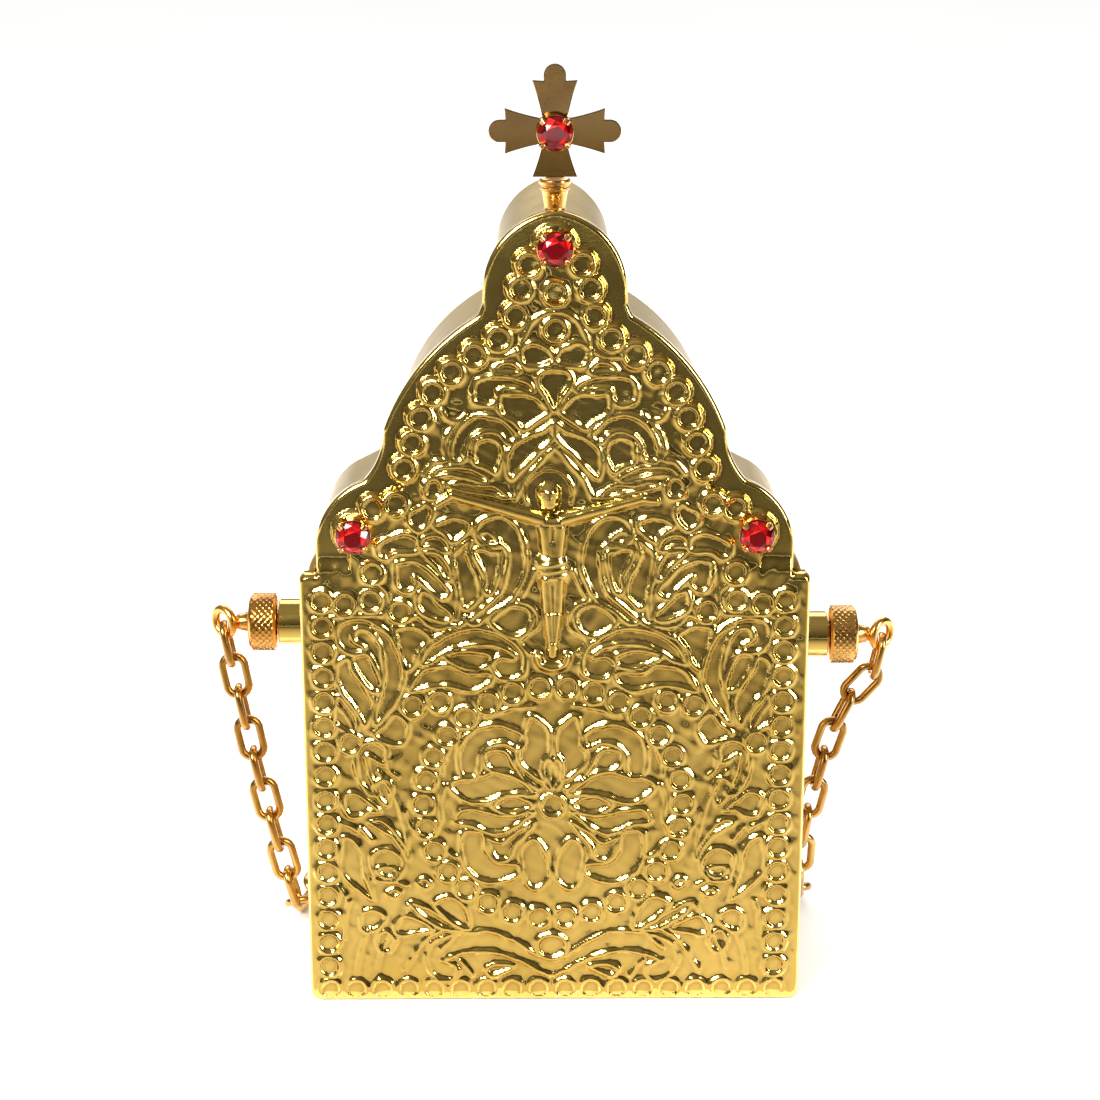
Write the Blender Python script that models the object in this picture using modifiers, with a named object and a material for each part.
"""A travelling pyx of gilt brass: a gabled case with a stamped lift-off front, a cross and a chain.

The front looks along -Y and the case stands on its underside at z = 0. Metres, +Z up.
"""

import math

import bmesh
import bpy
from mathutils import Matrix, Vector
from mathutils.geometry import delaunay_2d_cdt

MM = 0.001

# Cover: the stamped front, a square panel under a pediment of three lobes
COVER_WIDTH = 72.0 * MM
PANEL_HEIGHT = 66.2 * MM
PEDIMENT_WIDTH = 67.0 * MM
LOWER_LOBE_HEIGHT = 13.5 * MM
MIDDLE_LOBE_WIDTH = 47.4 * MM
MIDDLE_LOBE_HEIGHT = 23.4 * MM
CROWN_WIDTH = 19.6 * MM
CROWN_HEIGHT = 14.4 * MM
COVER_CORNER = 1.4 * MM
COVER_SHEET = 0.9 * MM
COVER_RIM_DEPTH = 2.2 * MM
COVER_FLANGE_DEPTH = 5.2 * MM
PANEL_BORDER = 0.75 * MM
PEDIMENT_BORDER = 2.6 * MM
BORDER_ROLL = 1.3 * MM

# Case: the plain box behind the cover
OVERALL_DEPTH = 42.0 * MM
CASE_WALL = 1.0 * MM
CASE_SHOULDER_RISE = 7.0 * MM
CASE_SHOULDER_RUN = 7.8 * MM
CASE_MIDDLE_INSET = 1.8 * MM
CASE_CROWN_INSET = 1.3 * MM
FIT_GAP = 0.3 * MM

# Relief of the stamping
RELIEF_HEIGHT = 0.75 * MM
BEAD_RADIUS = 1.55 * MM
BEAD_HEIGHT = 0.95 * MM
BEAD_PITCH = 3.82 * MM
BEAD_ROW_INSET = 2.75 * MM
MEDALLION_HALF_WIDTH = 18.7 * MM
MEDALLION_HALF_HEIGHT = 18.0 * MM
MEDALLION_HEIGHT = 31.5 * MM
MEDALLION_BEADS = 30
FIGURE_HEIGHT = 24.6 * MM
FIGURE_RELIEF = 1.3 * MM
FIGURE_EDGE = 0.36 * MM
LONG_LEAF = 9.0 * MM

# Stones in claw settings
STONE_DIAMETER = 4.6 * MM
STONE_HEIGHT = 2.4 * MM
SETTING_WALL = 0.45 * MM
SETTING_HEIGHT = 1.9 * MM
SETTING_FOOT_DIAMETER = 3.4 * MM
CLAW_DIAMETER = 0.9 * MM
CLAW_RISE = 0.9 * MM
SIDE_STONE_OUT = 28.0 * MM
SIDE_STONE_HEIGHT = 72.4 * MM
TOP_STONE_DROP = 4.8 * MM

# Cross and the cup that carries it
CROSS_THICKNESS = 1.0 * MM
CROSS_ARM = 9.0 * MM
CROSS_FOOT_ARM = 6.2 * MM
CROSS_WAIST = 3.3 * MM
CROSS_FLARE = 6.1 * MM
CROSS_SHOULDER = 6.8 * MM
CROSS_NUB_WIDTH = 3.0 * MM
CUP_HEIGHT = 4.6 * MM
CUP_FOOT_DIAMETER = 3.0 * MM
CUP_MOUTH_DIAMETER = 4.4 * MM
CUP_BEHIND_COVER = 3.0 * MM

# Side screws, each with a collar on the case and an eye for the chain
COLLAR_DIAMETER = 7.0 * MM
COLLAR_LENGTH = 6.2 * MM
KNURL_DIAMETER = 8.8 * MM
KNURL_LENGTH = 4.2 * MM
KNURL_CHAMFER = 0.5 * MM
NECK_DIAMETER = 3.4 * MM
NECK_LENGTH = 2.2 * MM
EYE_DIAMETER = 5.6 * MM
EYE_WIRE = 1.5 * MM
EYE_TURN = math.radians(42.0)
LEFT_SCREW_HEIGHT = 51.4 * MM
RIGHT_SCREW_HEIGHT = 49.2 * MM

# Chain of oval links
LINK_LENGTH = 7.3 * MM
LINK_WIDTH = 5.0 * MM
LINK_WIRE = 1.25 * MM
LINK_OVERLAP = 0.34 * MM
LINK_CORNERS = 8

GOLD = (0.62, 0.42, 0.13, 1.0)
PALE_GOLD = (0.60, 0.54, 0.42, 1.0)
DARK_GOLD = (0.30, 0.20, 0.06, 1.0)
ORANGE_GOLD = (0.72, 0.38, 0.10, 1.0)
RED_GLASS = (0.42, 0.01, 0.02, 1.0)

FIELD_Y = -OVERALL_DEPTH / 2
BACK_Y = OVERALL_DEPTH / 2
CASE_FRONT_Y = FIELD_Y + COVER_RIM_DEPTH + FIT_GAP
CASE_HALF_WIDTH = COVER_WIDTH / 2 - COVER_SHEET - FIT_GAP
COVER_HEIGHT = PANEL_HEIGHT + LOWER_LOBE_HEIGHT + MIDDLE_LOBE_HEIGHT + CROWN_HEIGHT


for old in list(bpy.data.objects):
    bpy.data.objects.remove(old, do_unlink=True)

pyx = bpy.data.collections.new("pyx")
cutters = bpy.data.collections.new("cutters")
bpy.context.scene.collection.children.link(pyx)
bpy.context.scene.collection.children.link(cutters)


def material(name, colour, roughness, metallic):
    made = bpy.data.materials.new(name)
    made.use_nodes = True
    shader = made.node_tree.nodes["Principled BSDF"]
    shader.inputs["Base Color"].default_value = colour
    shader.inputs["Roughness"].default_value = roughness
    shader.inputs["Metallic"].default_value = metallic
    return made


def add_object(name, mesh, finish, group=pyx):
    made = bpy.data.objects.new(name, mesh)
    group.objects.link(made)
    if finish:
        mesh.materials.clear()
        mesh.materials.append(finish)
    if group is cutters:
        made.hide_render = True
        made.display_type = "WIRE"
    return made


def mesh_from(work, name):
    bmesh.ops.recalc_face_normals(work, faces=work.faces)
    mesh = bpy.data.meshes.new(name)
    work.to_mesh(mesh)
    work.free()
    return mesh


def boolean(target, cutter, operation):
    step = target.modifiers.new(operation.title(), "BOOLEAN")
    step.operation = operation
    step.object = cutter


def arc(start, end, bulge, steps):
    """Points after start on a circular arc to end; bulge is its height over its chord, + to the left."""
    start, end = Vector(start), Vector(end)
    if abs(bulge) < 1e-6:
        return [end]
    chord = end - start
    side = Vector((-chord.y, chord.x))
    centre = (start + end) / 2 - side * (1 - 4 * bulge * bulge) / (8 * bulge)
    spoke = start - centre
    sweep = -4 * math.atan(2 * bulge)
    turns = [Matrix.Rotation(sweep * k / steps, 2) for k in range(1, steps + 1)]
    return [centre + turn @ spoke for turn in turns]


def mirrored(half):
    """A closed outline, anticlockwise from below, out of its right half from foot to apex."""
    left = [Vector((-point.x, point.y)) for point in reversed(half) if abs(point.x) > 1e-7]
    return half + left


def offset(outline, amounts):
    """The outline moved inwards by each corner's own amount, with mitred corners."""
    moved = []
    count = len(outline)
    for k, point in enumerate(outline):
        before = (point - outline[k - 1]).normalized()
        after = (outline[(k + 1) % count] - point).normalized()
        inward = Vector((-before.y - after.y, before.x + after.x)).normalized()
        reach = max(0.35, inward.dot(Vector((-before.y, before.x))))
        moved.append(point + inward * amounts[k] / reach)
    return moved


def within(point, outline):
    """Whether the point lies inside the closed outline."""
    inside = False
    for a, b in zip(outline, outline[1:] + outline[:1]):
        if (a.y > point.y) != (b.y > point.y):
            if point.x < a.x + (b.x - a.x) * (point.y - a.y) / (b.y - a.y):
                inside = not inside
    return inside


def cover_outline(steps):
    """The stamped front's outline: panel, ledge, two stepped lobes and the crown."""
    side = COVER_WIDTH / 2
    foot = PEDIMENT_WIDTH / 2
    lower_top = PANEL_HEIGHT + LOWER_LOBE_HEIGHT
    middle_top = lower_top + MIDDLE_LOBE_HEIGHT
    middle = MIDDLE_LOBE_WIDTH / 2
    crown = CROWN_WIDTH / 2
    half = [Vector((side - COVER_CORNER, 0.0))]
    half += arc(half[-1], (side, COVER_CORNER), -0.207, 3)
    half.append(Vector((side, PANEL_HEIGHT - COVER_CORNER / 2)))
    half.append(Vector((side - COVER_CORNER / 2, PANEL_HEIGHT)))
    half.append(Vector((foot, PANEL_HEIGHT)))
    half.append(Vector((foot, PANEL_HEIGHT + LOWER_LOBE_HEIGHT * 0.33)))
    half += arc(half[-1], (middle + LOWER_LOBE_HEIGHT * 0.21, lower_top), -0.145, steps)
    half += arc(half[-1], (middle, lower_top + MIDDLE_LOBE_HEIGHT * 0.31), 0.089, steps // 2 + 1)
    half += arc(half[-1], (crown + CROWN_HEIGHT * 0.05, middle_top), -0.086, steps + 1)
    half.append(Vector((crown + CROWN_HEIGHT * 0.01, middle_top + CROWN_HEIGHT * 0.1)))
    half.append(Vector((crown, middle_top + CROWN_HEIGHT * 0.3)))
    half += arc(half[-1], (0.0, COVER_HEIGHT), -0.178, steps + 1)
    return mirrored(half)


def case_outline(steps):
    """The case's outline: walls, sloping shoulders, middle lobe and crown."""
    lower_top = PANEL_HEIGHT + LOWER_LOBE_HEIGHT
    middle_top = lower_top + MIDDLE_LOBE_HEIGHT - CASE_CROWN_INSET
    middle = MIDDLE_LOBE_WIDTH / 2 - CASE_MIDDLE_INSET
    crown = CROWN_WIDTH / 2 - CASE_CROWN_INSET
    half = [Vector((CASE_HALF_WIDTH, 0.0)), Vector((CASE_HALF_WIDTH, PANEL_HEIGHT))]
    bend = (CASE_HALF_WIDTH - CASE_SHOULDER_RUN * 0.62, PANEL_HEIGHT + CASE_SHOULDER_RISE * 0.78)
    half += arc(half[-1], bend, -0.11, steps // 2 + 1)
    slope_end = (CASE_HALF_WIDTH - CASE_SHOULDER_RUN, PANEL_HEIGHT + CASE_SHOULDER_RISE)
    half.append(Vector(slope_end))
    half += arc(half[-1], (middle, lower_top + MIDDLE_LOBE_HEIGHT * 0.29), 0.02, 2)
    half += arc(half[-1], (crown + CROWN_HEIGHT * 0.06, middle_top - CROWN_HEIGHT * 0.16), -0.086, steps)
    half.append(Vector((crown, middle_top + CROWN_HEIGHT * 0.08)))
    half.append(Vector((crown, middle_top + CROWN_HEIGHT * 0.3)))
    half += arc(half[-1], (0.0, COVER_HEIGHT - CASE_CROWN_INSET), -0.178, steps)
    return mirrored(half)


def prism(name, outline, front, back, finish=None, group=cutters):
    """A solid with this outline in X and Z between two depths."""
    work = bmesh.new()
    face = work.faces.new([work.verts.new((point.x, front, point.y)) for point in outline])
    grown = bmesh.ops.extrude_face_region(work, geom=[face])
    moved = [item for item in grown["geom"] if isinstance(item, bmesh.types.BMVert)]
    bmesh.ops.translate(work, verts=moved, vec=(0.0, back - front, 0.0))
    return add_object(name, mesh_from(work, name), finish, group)


def on_cover(x, z):
    """A place on the stamping, drawn in real millimetres, carried to the cover's present size."""
    drawn_width, drawn_panel, drawn_gable = 72.0, 66.2, 51.3
    across = x * COVER_WIDTH / drawn_width
    if z < drawn_panel:
        return Vector((across, z * PANEL_HEIGHT / drawn_panel))
    gable = COVER_HEIGHT - PANEL_HEIGHT
    return Vector((across, PANEL_HEIGHT + (z - drawn_panel) * gable / drawn_gable))


def petal(root, heading, length, turn, width, fullness):
    """A leaf's outline, pointed at its root and turning as it runs, and the points of its ridge."""
    spine = []
    place = Vector(root)
    steps = 4 if length > LONG_LEAF else 3
    for k in range(steps + 1):
        angle = math.radians(heading + turn * k / steps)
        spine.append((place.copy(), angle))
        middle = math.radians(heading + turn * (k + 0.5) / steps)
        place = place + Vector((math.cos(middle), math.sin(middle))) * length / steps
    left, right = [], []
    for k in range(1, steps):
        centre, angle = spine[k]
        half = width / 2 * math.sin(math.pi * (k / steps) ** fullness)
        across = Vector((-math.sin(angle), math.cos(angle))) * half
        left.append(centre + across)
        right.append(centre - across)
    return [spine[0][0]] + right + [spine[-1][0]] + left[::-1], [centre for centre, _ in spine[1:-1]]


def along(points, pitch):
    """Places at an even pitch, as near the given one as fits, along a line through the points."""
    lengths = [(b - a).length for a, b in zip(points, points[1:])]
    total = sum(lengths)
    count = max(1, round(total / pitch))
    places = []
    for k in range(count + 1):
        want = total * k / count
        leg = 0
        while leg < len(lengths) - 1 and want > lengths[leg]:
            want -= lengths[leg]
            leg += 1
        places.append(points[leg].lerp(points[leg + 1], min(1.0, want / lengths[leg])))
    return places


def bead_places():
    """Every bead of the stamping: rows round the panel and the pediment, and the oval ring."""
    side = COVER_WIDTH / 2 - BEAD_ROW_INSET
    low = BEAD_ROW_INSET * 0.8
    high = PANEL_HEIGHT - BEAD_ROW_INSET * 1.5
    rows = []
    rows += along([Vector((side, low)), Vector((side, high))], BEAD_PITCH)
    rows += along([Vector((0.0, low)), Vector((side, low))], BEAD_PITCH)[:-1]
    ledge = [(29.2, 62.1), (25.3, 62.8), (21.1, 61.2)]
    foot = [(25.6, 66.7), (27.0, 68.6), (24.2, 76.9)]
    gable = [(22.3, 78.3), (19.2, 86.5), (16.6, 92.6), (11.0, 97.9), (5.6, 102.4), (4.9, 107.4), (3.7, 110.4)]
    rows += [on_cover(x, z) for x, z in ledge + foot]
    rows += along([on_cover(x, z) for x, z in gable], BEAD_PITCH)
    both = rows + [Vector((-place.x, place.y)) for place in rows if place.x > BEAD_PITCH / 4]
    both += [on_cover(0.0, 106.6), on_cover(0.0, 101.6)]
    for k in range(MEDALLION_BEADS):
        angle = 2 * math.pi * (k + 0.5) / MEDALLION_BEADS
        reach = Vector((MEDALLION_HALF_WIDTH * math.cos(angle), MEDALLION_HALF_HEIGHT * math.sin(angle)))
        both.append(Vector((0.0, MEDALLION_HEIGHT)) + reach)
    return both


# Leaves of the right half: root x and z, heading, length, turn, width, fullness, in mm and degrees
PEDIMENT_LEAVES = [
    (2.2, 88.0, 118, 9.5, -80, 4.0, 1.0),
    (3.6, 83.6, 60, 12.5, 28, 3.2, 1.0),
    (8.0, 83.0, 68, 8.6, -150, 3.8, 1.3),
    (1.0, 91.5, 90, 5.4, 0, 3.6, 1.8),
    (4.0, 95.6, 18, 9.0, -45, 2.6, 1.2),
    (14.6, 82.6, 172, 7.0, 22, 2.0, 1.0),
    (11.8, 87.0, 50, 6.0, 30, 2.6, 1.2),
]
FIGURE_LEAVES = [
    (9.8, 59.6, 104, 19.5, -118, 4.4, 1.35),
    (9.6, 60.8, 62, 9.0, 38, 3.0, 1.0),
    (8.8, 57.6, 208, 6.8, 0, 3.6, 1.7),
    (13.9, 71.2, 10, 5.2, -30, 2.8, 1.2),
    (14.6, 66.6, 30, 8.4, -60, 3.4, 1.4),
    (16.2, 63.2, 60, 5.4, 30, 2.8, 1.2),
    (20.6, 70.6, 20, 5.0, 30, 2.8, 1.2),
]
PANEL_LEAVES = [
    (19.8, 51.6, 128, 15.5, 88, 3.6, 1.3),
    (20.2, 48.8, 152, 11.8, 30, 3.4, 1.1),
    (18.4, 57.4, -62, 6.2, -12, 3.8, 0.8),
    (24.4, 43.6, 60, 15.5, 66, 4.4, 1.5),
    (26.8, 42.4, 48, 8.0, 34, 3.0, 1.1),
    (21.6, 44.4, 140, 4.6, 0, 2.4, 1.1),
    (27.6, 32.0, 160, 5.6, 40, 3.2, 1.2),
    (29.6, 30.2, 236, 15.8, 70, 4.2, 1.4),
    (26.0, 17.8, 112, 9.6, 44, 3.4, 1.1),
    (23.4, 14.6, 50, 6.2, 20, 2.8, 1.1),
    (12.4, 11.6, 140, 6.8, 22, 3.2, 1.3),
    (13.2, 11.2, 48, 8.2, 20, 2.6, 1.1),
    (18.6, 12.4, 20, 6.4, -30, 3.0, 1.2),
    (2.2, 5.6, 60, 18.6, -100, 3.8, 1.5),
    (21.0, 6.8, 20, 7.4, 50, 3.6, 1.3),
]
MEDALLION_LEAVES = [
    (2.8, 0.2, 0, 4.6, 0, 1.9, 1.0),
    (2.4, 1.4, 34, 12.8, -42, 3.2, 1.0),
    (2.4, -1.4, -34, 12.6, 42, 3.2, 1.0),
    (0.7, 3.2, 58, 11.6, 46, 3.6, 1.0),
    (0.7, -3.2, -58, 11.0, -46, 3.6, 1.0),
    (12.6, 3.9, 98, 12.4, 118, 3.4, 1.1),
    (12.6, -3.9, -98, 12.4, -118, 3.4, 1.1),
]


def leaves():
    """Outline and ridge of every leaf on both halves of the stamping."""
    made = []
    span = COVER_WIDTH / 72.0
    for x, z, heading, length, turn, width, fullness in PEDIMENT_LEAVES + FIGURE_LEAVES + PANEL_LEAVES:
        made.append(petal(on_cover(x, z), heading, length * span, turn, width * span, fullness))
    ring = MEDALLION_HALF_WIDTH / 18.7
    for x, z, heading, length, turn, width, fullness in MEDALLION_LEAVES:
        root = Vector((x * ring, MEDALLION_HEIGHT + z * ring))
        made.append(petal(root, heading, length * ring, turn, width * ring, fullness))
    flipped = [[[Vector((-point.x, point.y)) for point in line] for line in leaf] for leaf in made]
    return made + flipped


def figure_shapes():
    """The figure on the cross, as shares of its height: each outline with how far it stands out."""
    foot = on_cover(0.0, 53.4)
    body = [
        (0.0, 0.03), (0.045, 0.04), (0.06, 0.25), (0.082, 0.45), (0.095, 0.50), (0.09, 0.60),
        (0.075, 0.66), (0.10, 0.78), (0.13, 0.835), (0.34, 0.875), (0.60, 0.915), (0.62, 0.965),
        (0.34, 0.935), (0.12, 0.905), (0.0, 0.885),
    ]
    head = [(0.07 * math.cos(t * math.pi / 4), 1.0 + 0.08 * math.sin(t * math.pi / 4)) for t in range(8)]
    rest = [(-0.09, 0.0), (-0.05, -0.045), (0.05, -0.045), (0.09, 0.0)]
    right = [Vector(point) for point in body]
    full = right + [Vector((-point.x, point.y)) for point in reversed(right[1:-1])]
    shapes = [(full, 0.75), ([Vector(point) for point in head], 1.0), ([Vector(point) for point in rest], 0.6)]
    return [([foot + point * FIGURE_HEIGHT for point in shape], rise) for shape, rise in shapes]


def stamping(outline, borders):
    """Points, edges and heights of the stamped face: rolled border, beads, leaves and the figure."""
    flat, edges, rises = [], [], []

    def line(points, rise, closed):
        """Adds the points joined in a row and returns the places of the first and the last."""
        first = len(flat)
        flat.extend(points)
        rises.extend([rise] * len(points))
        last = len(flat) - 1
        edges.extend((k, k + 1) for k in range(first, last))
        if closed:
            edges.append((last, first))
        return first, last

    line(outline, -BORDER_ROLL, True)
    line(offset(outline, [border * 0.45 for border in borders]), -BORDER_ROLL * 0.3, True)
    line(offset(outline, borders), 0.0, True)
    spokes = [Vector((math.cos(k * math.pi / 3), math.sin(k * math.pi / 3))) for k in range(6)]
    for place in bead_places():
        line([place + spoke * BEAD_RADIUS for spoke in spokes], 0.0, True)
        line([place], BEAD_HEIGHT, False)
    for leaf, ridge in leaves():
        root, _ = line(leaf, 0.0, True)
        near, far = line(ridge, RELIEF_HEIGHT, False)
        edges.extend([(root, near), (far, root + len(leaf) // 2)])
    for shape, rise in figure_shapes():
        line(shape, 0.0, True)
        line(offset(shape, [FIGURE_EDGE] * len(shape)), FIGURE_RELIEF * rise, True)
    return flat, edges, rises


def triangulated(flat, edges, rises):
    """The stamping's places, triangles and heights; where two lines cross, the higher one stands."""
    places, lines, faces, sources, line_sources, _ = delaunay_2d_cdt(flat, edges, [], 1, 1e-7, True)
    heights = [rises[source[0]] if source else 0.0 for source in sources]
    for ends, given in zip(lines, line_sources):
        for k in ends:
            if sources[k]:
                continue
            for number in given:
                if number < len(edges):
                    a, b = edges[number]
                    share = (places[k] - flat[a]).length / (flat[b] - flat[a]).length
                    heights[k] = max(heights[k], rises[a] + (rises[b] - rises[a]) * share)
    return places, faces, heights


def front_cover():
    """The stamped front: relief outside, a hollow pan inside, flanges that grip the case's walls."""
    outline = cover_outline(5)
    borders = []
    for point in outline:
        on_ledge = abs(point.y - PANEL_HEIGHT) < 1e-6 and abs(abs(point.x) - PEDIMENT_WIDTH / 2) < 1e-6
        below = PANEL_BORDER if point.y <= PANEL_HEIGHT + 1e-6 else PEDIMENT_BORDER
        borders.append((PANEL_BORDER + PEDIMENT_BORDER) / 2 if on_ledge else below)
    places, faces, heights = triangulated(*stamping(outline, borders))
    work = bmesh.new()
    face_verts = [work.verts.new((place.x, FIELD_Y - rise, place.y)) for place, rise in zip(places, heights)]
    for face in faces:
        if within(sum((places[k] for k in face), Vector((0.0, 0.0))) / 3, outline):
            work.faces.new([face_verts[k] for k in face])
    bmesh.ops.delete(work, geom=[vert for vert in work.verts if not vert.link_faces], context="VERTS")
    rim = [edge for edge in work.edges if edge.is_boundary]
    grown = bmesh.ops.extrude_edge_only(work, edges=rim)
    back = [item for item in grown["geom"] if isinstance(item, bmesh.types.BMVert)]
    for vert in back:
        vert.co.y = FIELD_Y + COVER_FLANGE_DEPTH
    bmesh.ops.holes_fill(work, edges=[edge for edge in work.edges if edge.is_boundary])
    bmesh.ops.triangulate(work, faces=work.faces)
    cover = add_object("front_cover", mesh_from(work, "front_cover"), gold)

    inside = [point for point in offset(outline, [COVER_SHEET] * len(outline)) if point.y > 2 * COVER_CORNER]
    reach = COVER_WIDTH / 2 - COVER_SHEET
    below = -OVERALL_DEPTH
    pan_outline = [Vector((reach, below))] + inside + [Vector((-reach, below))]
    pan = prism("cover_hollow", pan_outline, FIELD_Y + COVER_SHEET, BACK_Y)
    flange_top = PANEL_HEIGHT - COVER_CORNER
    above = [Vector((COVER_WIDTH, flange_top)), Vector((COVER_WIDTH, 2 * COVER_HEIGHT))]
    above += [Vector((-COVER_WIDTH, 2 * COVER_HEIGHT)), Vector((-COVER_WIDTH, flange_top))]
    trim = prism("flange_trim", above, FIELD_Y + COVER_RIM_DEPTH, BACK_Y)
    boolean(cover, pan, "DIFFERENCE")
    boolean(cover, trim, "DIFFERENCE")
    return cover


def case_body():
    """The open-fronted box behind the cover, bent and soldered from sheet."""
    outline = case_outline(5)
    body = prism("case_body", outline, CASE_FRONT_Y, BACK_Y, pale_gold, pyx)
    room = offset(outline, [CASE_WALL] * len(outline))
    hollow = prism("case_hollow", room, CASE_FRONT_Y - OVERALL_DEPTH, BACK_Y - CASE_WALL)
    boolean(body, hollow, "DIFFERENCE")
    return body


def turned(name, profile, sides, finish, group=pyx):
    """A solid turned about local Z; the profile runs from the top of the axis to its foot."""
    work = bmesh.new()
    points = [work.verts.new((radius, 0.0, height)) for radius, height in profile]
    for first, second in zip(points, points[1:]):
        work.edges.new((first, second))
    mesh = bpy.data.meshes.new(name)
    work.to_mesh(mesh)
    work.free()
    made = add_object(name, mesh, finish, group)
    spin = made.modifiers.new("Turning", "SCREW")
    spin.steps = sides
    spin.render_steps = sides
    spin.use_merge_vertices = True
    spin.merge_threshold = 0.00001
    return made


def stone_and_setting(label, place):
    """A round cut stone in a flared cup with four claws; place is the point behind it."""
    radius = STONE_DIAMETER / 2
    bore = radius + FIT_GAP
    lip = FIT_GAP + SETTING_HEIGHT
    foot = SETTING_FOOT_DIAMETER / 2
    turn = (math.pi / 2, 0.0, 0.0)
    cup = turned("setting_" + label, [
        (0.0, FIT_GAP + SETTING_WALL), (foot * 0.5, FIT_GAP + SETTING_WALL), (bore, lip * 0.92), (bore, lip),
        (bore + SETTING_WALL, lip), (bore + SETTING_WALL * 0.8, lip * 0.7), (foot, FIT_GAP), (0.0, FIT_GAP),
    ], 8, orange_gold)
    cup.location, cup.rotation_euler = place, turn
    work = bmesh.new()
    for k in range(4):
        base = Vector((bore + SETTING_WALL, 0.0, lip * 0.62))
        tip = Vector((bore + CLAW_DIAMETER * 0.1, 0.0, lip + CLAW_RISE))
        lean = (tip - base).to_track_quat("Z", "Y").to_matrix().to_4x4()
        spin = Matrix.Rotation(math.pi / 4 + k * math.pi / 2, 4, "Z")
        bmesh.ops.create_cone(
            work, cap_ends=True, segments=4, radius1=CLAW_DIAMETER * 0.45, radius2=CLAW_DIAMETER * 0.36,
            depth=(tip - base).length, matrix=spin @ Matrix.Translation((base + tip) / 2) @ lean,
        )
    claws = add_object("claws_" + label, mesh_from(work, "claws_" + label), None, cutters)
    claws.location, claws.rotation_euler = place, turn
    boolean(cup, claws, "UNION")
    girdle = lip + FIT_GAP * 0.4
    stone = turned("stone_" + label, [
        (0.0, girdle + STONE_HEIGHT * 0.36), (radius * 0.56, girdle + STONE_HEIGHT * 0.36),
        (radius, girdle), (radius, girdle - STONE_HEIGHT * 0.06), (0.0, girdle - STONE_HEIGHT * 0.36),
    ], 8, red_glass)
    stone.location, stone.rotation_euler = place, turn


def cross():
    """The cross sawn from sheet: arms that flare to square shoulders, three with a round nub."""
    half_waist, half_flare, half_nub = CROSS_WAIST / 2, CROSS_FLARE / 2, CROSS_NUB_WIDTH / 2
    outline = []
    for k in range(4):
        turn = Matrix.Rotation(math.pi / 2 * k, 2)
        if k == 3:
            arm = [Vector((CROSS_FOOT_ARM, -half_flare)), Vector((CROSS_FOOT_ARM, half_flare))]
        else:
            nub_root = CROSS_ARM - half_nub
            arm = [Vector((CROSS_SHOULDER, -half_flare)), Vector((CROSS_SHOULDER, -half_nub))]
            arm.append(Vector((nub_root, -half_nub)))
            arm += arc(arm[-1], (nub_root, half_nub), -0.5, 6)
            arm += [Vector((CROSS_SHOULDER, half_nub)), Vector((CROSS_SHOULDER, half_flare))]
        outline += [turn @ point for point in [Vector((half_waist, -half_waist))] + arm]
    crown_top = COVER_HEIGHT - CASE_CROWN_INSET
    height = crown_top + FIT_GAP + CUP_HEIGHT + FIT_GAP + CROSS_FOOT_ARM
    outline = [Vector((point.x, point.y + height)) for point in outline]
    middle = CASE_FRONT_Y + CUP_BEHIND_COVER
    prism("cross", outline, middle - CROSS_THICKNESS / 2, middle + CROSS_THICKNESS / 2, dark_gold, pyx)
    foot, mouth = CUP_FOOT_DIAMETER / 2, CUP_MOUTH_DIAMETER / 2
    cup = turned("cross_cup", [
        (0.0, CUP_HEIGHT), (mouth, CUP_HEIGHT), (mouth, CUP_HEIGHT * 0.86), (mouth * 0.86, CUP_HEIGHT * 0.8),
        (mouth * 0.9, CUP_HEIGHT * 0.62), (foot * 1.05, CUP_HEIGHT * 0.4), (foot * 0.95, CUP_HEIGHT * 0.1),
        (foot, 0.0), (0.0, 0.0),
    ], 8, orange_gold)
    cup.location = (0.0, middle, crown_top + FIT_GAP)
    stone_and_setting("cross", Vector((0.0, middle - CROSS_THICKNESS / 2, height)))


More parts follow.
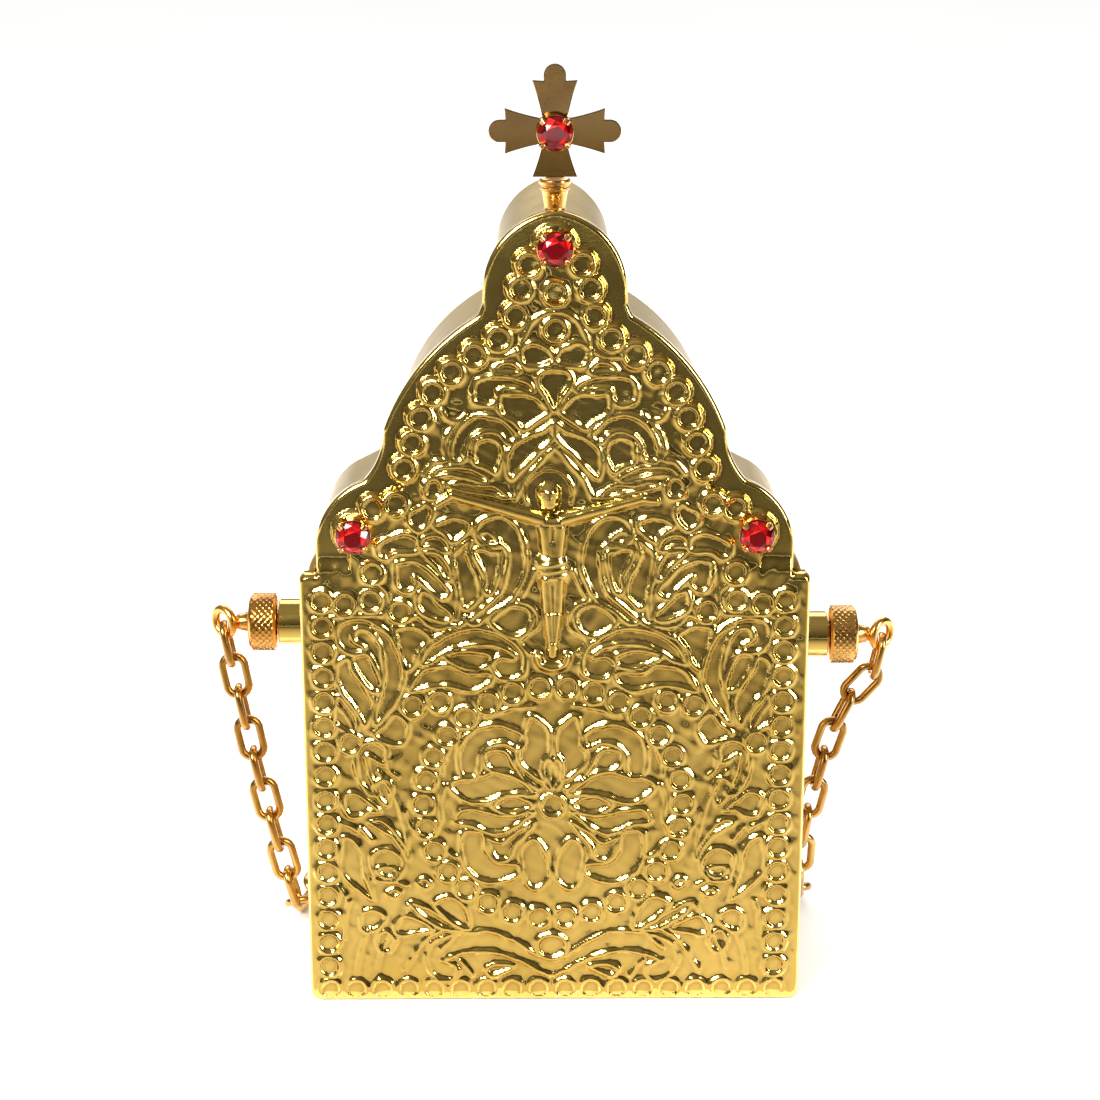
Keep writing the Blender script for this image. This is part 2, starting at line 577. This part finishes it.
def side_screw(label, side, height):
    """A collar on the case's wall, and in it the knurled screw with its eye for the chain."""
    turn = (0.0, side * math.pi / 2, 0.0)
    bore = NECK_DIAMETER / 2 + FIT_GAP
    outer = COLLAR_DIAMETER / 2
    collar = turned("collar_" + label, [
        (bore, COLLAR_LENGTH), (outer, COLLAR_LENGTH), (outer, 0.0), (bore, 0.0), (bore, COLLAR_LENGTH),
    ], 12, gold)
    middle = (CASE_FRONT_Y + BACK_Y) / 2
    seat = CASE_HALF_WIDTH + FIT_GAP
    collar.location, collar.rotation_euler = (side * seat, middle, height), turn
    start = COLLAR_LENGTH + FIT_GAP
    end = start + KNURL_LENGTH
    knurl, neck = KNURL_DIAMETER / 2, NECK_DIAMETER / 2
    screw = turned("side_screw_" + label, [
        (0.0, end + NECK_LENGTH), (neck * 0.6, end + NECK_LENGTH), (neck * 0.75, end + NECK_LENGTH * 0.6),
        (neck, end), (knurl - KNURL_CHAMFER, end), (knurl, end - KNURL_CHAMFER),
        (knurl, start + KNURL_CHAMFER), (knurl - KNURL_CHAMFER, start), (neck, start),
        (neck, FIT_GAP), (0.0, FIT_GAP),
    ], 14, orange_gold)
    screw.location, screw.rotation_euler = (side * seat, middle, height), turn
    major = (EYE_DIAMETER - EYE_WIRE) / 2
    out = seat + end + NECK_LENGTH + EYE_DIAMETER / 2 - EYE_WIRE * 0.7
    bpy.ops.mesh.primitive_torus_add(
        major_segments=10, minor_segments=5, major_radius=major, minor_radius=EYE_WIRE / 2,
        location=(side * out, middle, height), rotation=(math.pi / 2, 0.0, side * EYE_TURN),
    )
    eye = bpy.context.object
    eye.name = "eye_" + label
    for group in eye.users_collection:
        group.objects.unlink(eye)
    cutters.objects.link(eye)
    eye.hide_render, eye.display_type = True, "WIRE"
    boolean(screw, eye, "UNION")
    return Vector((side * out, middle, height))


def chain_route(left_eye, right_eye):
    """The chain's line: down from each eye, along the foot of the walls and round behind the case."""
    hang = EYE_DIAMETER / 2 - EYE_WIRE - FIT_GAP
    step = LINK_WIDTH
    lying = step * 0.42
    beside = CASE_HALF_WIDTH + step * 0.75
    behind = BACK_Y + step * 1.2
    middle = left_eye.y
    left = left_eye - Vector((0.0, 0.0, hang))
    right = right_eye - Vector((0.0, 0.0, hang))
    route = [
        left,
        left.lerp(Vector((-beside - step * 0.3, middle, lying)), 0.5) - Vector((step * 0.06, 0.0, 0.0)),
        Vector((-beside - step * 0.36, middle + step * 0.1, lying + step * 0.7)),
        Vector((-beside - step * 0.18, middle + step * 1.1, lying)),
        Vector((-beside + step * 0.08, middle + step * 2.6, lying)),
        Vector((-beside + step * 0.6, behind - step * 0.1, lying)),
        Vector((-beside + step * 2.6, behind + step * 0.5, lying)),
        Vector((-beside * 0.25, behind + step * 0.2, lying)),
        Vector((beside * 0.3, behind + step * 0.6, lying)),
        Vector((beside - step * 2.2, behind + step * 0.4, lying)),
        Vector((beside - step * 0.4, behind - step * 0.3, lying)),
        Vector((beside + step * 0.06, middle + step * 2.4, lying)),
        Vector((beside + step * 0.08, middle + step * 1.1, lying + step * 0.4)),
        Vector((beside + step * 0.08, middle + step * 0.4, lying + step * 2.6)),
        Vector((right.x - step * 1.66, middle + step * 0.1, right.z - step * 3.9)),
        Vector((right.x - step * 1.28, middle, right.z - step * 2.6)),
        Vector((right.x - step * 0.84, middle, right.z - step * 1.72)),
        Vector((right.x - step * 0.2, middle, right.z - step)),
        right,
    ]
    smooth = []
    for k in range(len(route) - 1):
        p0, p1 = route[max(0, k - 1)], route[k]
        p2, p3 = route[k + 1], route[min(len(route) - 1, k + 2)]
        for step in range(24):
            t = step / 24
            bend = 2 * p1 + (p2 - p0) * t + (2 * p0 - 5 * p1 + 4 * p2 - p3) * t * t
            smooth.append((bend + (3 * p1 - p0 - 3 * p2 + p3) * t ** 3) / 2)
    return smooth + [route[-1]]


def march(route, pitch, count):
    """Joints at an exact straight distance from each other along the route, as many as fit up to count."""
    joints = [route[0]]
    for before, after in zip(route, route[1:]):
        while len(joints) <= count and (after - joints[-1]).length >= pitch:
            near, far = 0.0, 1.0
            for _ in range(30):
                middle = (near + far) / 2
                if (before.lerp(after, middle) - joints[-1]).length < pitch:
                    near = middle
                else:
                    far = middle
            joints.append(before.lerp(after, far))
    return joints


def links_along(route, pitch):
    """Joints of an odd number of links from eye to eye, the pitch eased so that the last meets its eye."""
    total = sum((b - a).length for a, b in zip(route, route[1:]))
    count = 2 * round((total / pitch - 1) / 2) + 1
    short, long = pitch * 0.94, pitch * 1.06
    for _ in range(30):
        middle = (short + long) / 2
        if len(march(route, middle, count)) > count:
            short = middle
        else:
            long = middle
    return march(route, short, count)


def neck_chain(left_eye, right_eye):
    """Oval links, each turned a quarter from the last, overlapping only where they bear on each other."""
    route = chain_route(left_eye, right_eye)
    reach = (LINK_LENGTH - LINK_WIRE) / 2
    across = (LINK_WIDTH - LINK_WIRE) / 2
    joints = links_along(route, LINK_LENGTH - 2 * LINK_WIRE + LINK_OVERLAP)
    bend = across / math.cos(math.pi / LINK_CORNERS)
    bpy.ops.mesh.primitive_torus_add(
        major_segments=LINK_CORNERS, minor_segments=4, major_radius=bend, minor_radius=LINK_WIRE / 2,
        location=(0.0, 0.0, 0.0), rotation=(0.0, 0.0, 0.0),
    )
    ring = bpy.context.object
    pulled = Matrix.Rotation(math.pi / LINK_CORNERS, 4, "Z")
    halves = [bmesh.new(), bmesh.new()]
    for k, (start, end) in enumerate(zip(joints, joints[1:])):
        run = (end - start).normalized()
        lying = min(1.0, max(0.0, 1.0 - abs(run.z) * 2.0))
        level = Vector((0.0, 1.0, 0.0)).lerp(Vector((0.0, 0.0, 1.0)), lying)
        level = (level - run * level.dot(run)).normalized()
        wide = Matrix.Rotation(math.radians(45.0 * lying + 90.0 * (k % 2)), 3, run) @ level
        facing = Matrix((run, wide, run.cross(wide))).transposed().to_4x4()
        work = halves[k % 2]
        known = len(work.verts)
        work.from_mesh(ring.data)
        work.verts.ensure_lookup_table()
        for vert in work.verts[known:]:
            vert.co = pulled @ vert.co
            vert.co.x += math.copysign(reach - across, vert.co.x)
            vert.co = (start + end) / 2 + facing.to_3x3() @ vert.co
    bpy.data.objects.remove(ring, do_unlink=True)
    chain = add_object("neck_chain", mesh_from(halves[0], "neck_chain"), orange_gold)
    others = add_object("chain_other_links", mesh_from(halves[1], "chain_other_links"), None, cutters)
    boolean(chain, others, "UNION")


gold = material("stamped_gilt_brass", GOLD, 0.22, 1.0)
pale_gold = material("plain_gilt_brass", PALE_GOLD, 0.34, 1.0)
dark_gold = material("sheet_gilt_brass", DARK_GOLD, 0.25, 1.0)
orange_gold = material("turned_gilt_brass", ORANGE_GOLD, 0.28, 1.0)
red_glass = material("cut_red_glass", RED_GLASS, 0.05, 0.0)

case_body()
front_cover()
side_place = on_cover(SIDE_STONE_OUT / MM, SIDE_STONE_HEIGHT / MM)
stone_and_setting("right", Vector((side_place.x, FIELD_Y, side_place.y)))
stone_and_setting("left", Vector((-side_place.x, FIELD_Y, side_place.y)))
stone_and_setting("top", Vector((0.0, FIELD_Y, COVER_HEIGHT - TOP_STONE_DROP)))
cross()
left_end = side_screw("left", -1, LEFT_SCREW_HEIGHT)
right_end = side_screw("right", 1, RIGHT_SCREW_HEIGHT)
neck_chain(left_end, right_end)
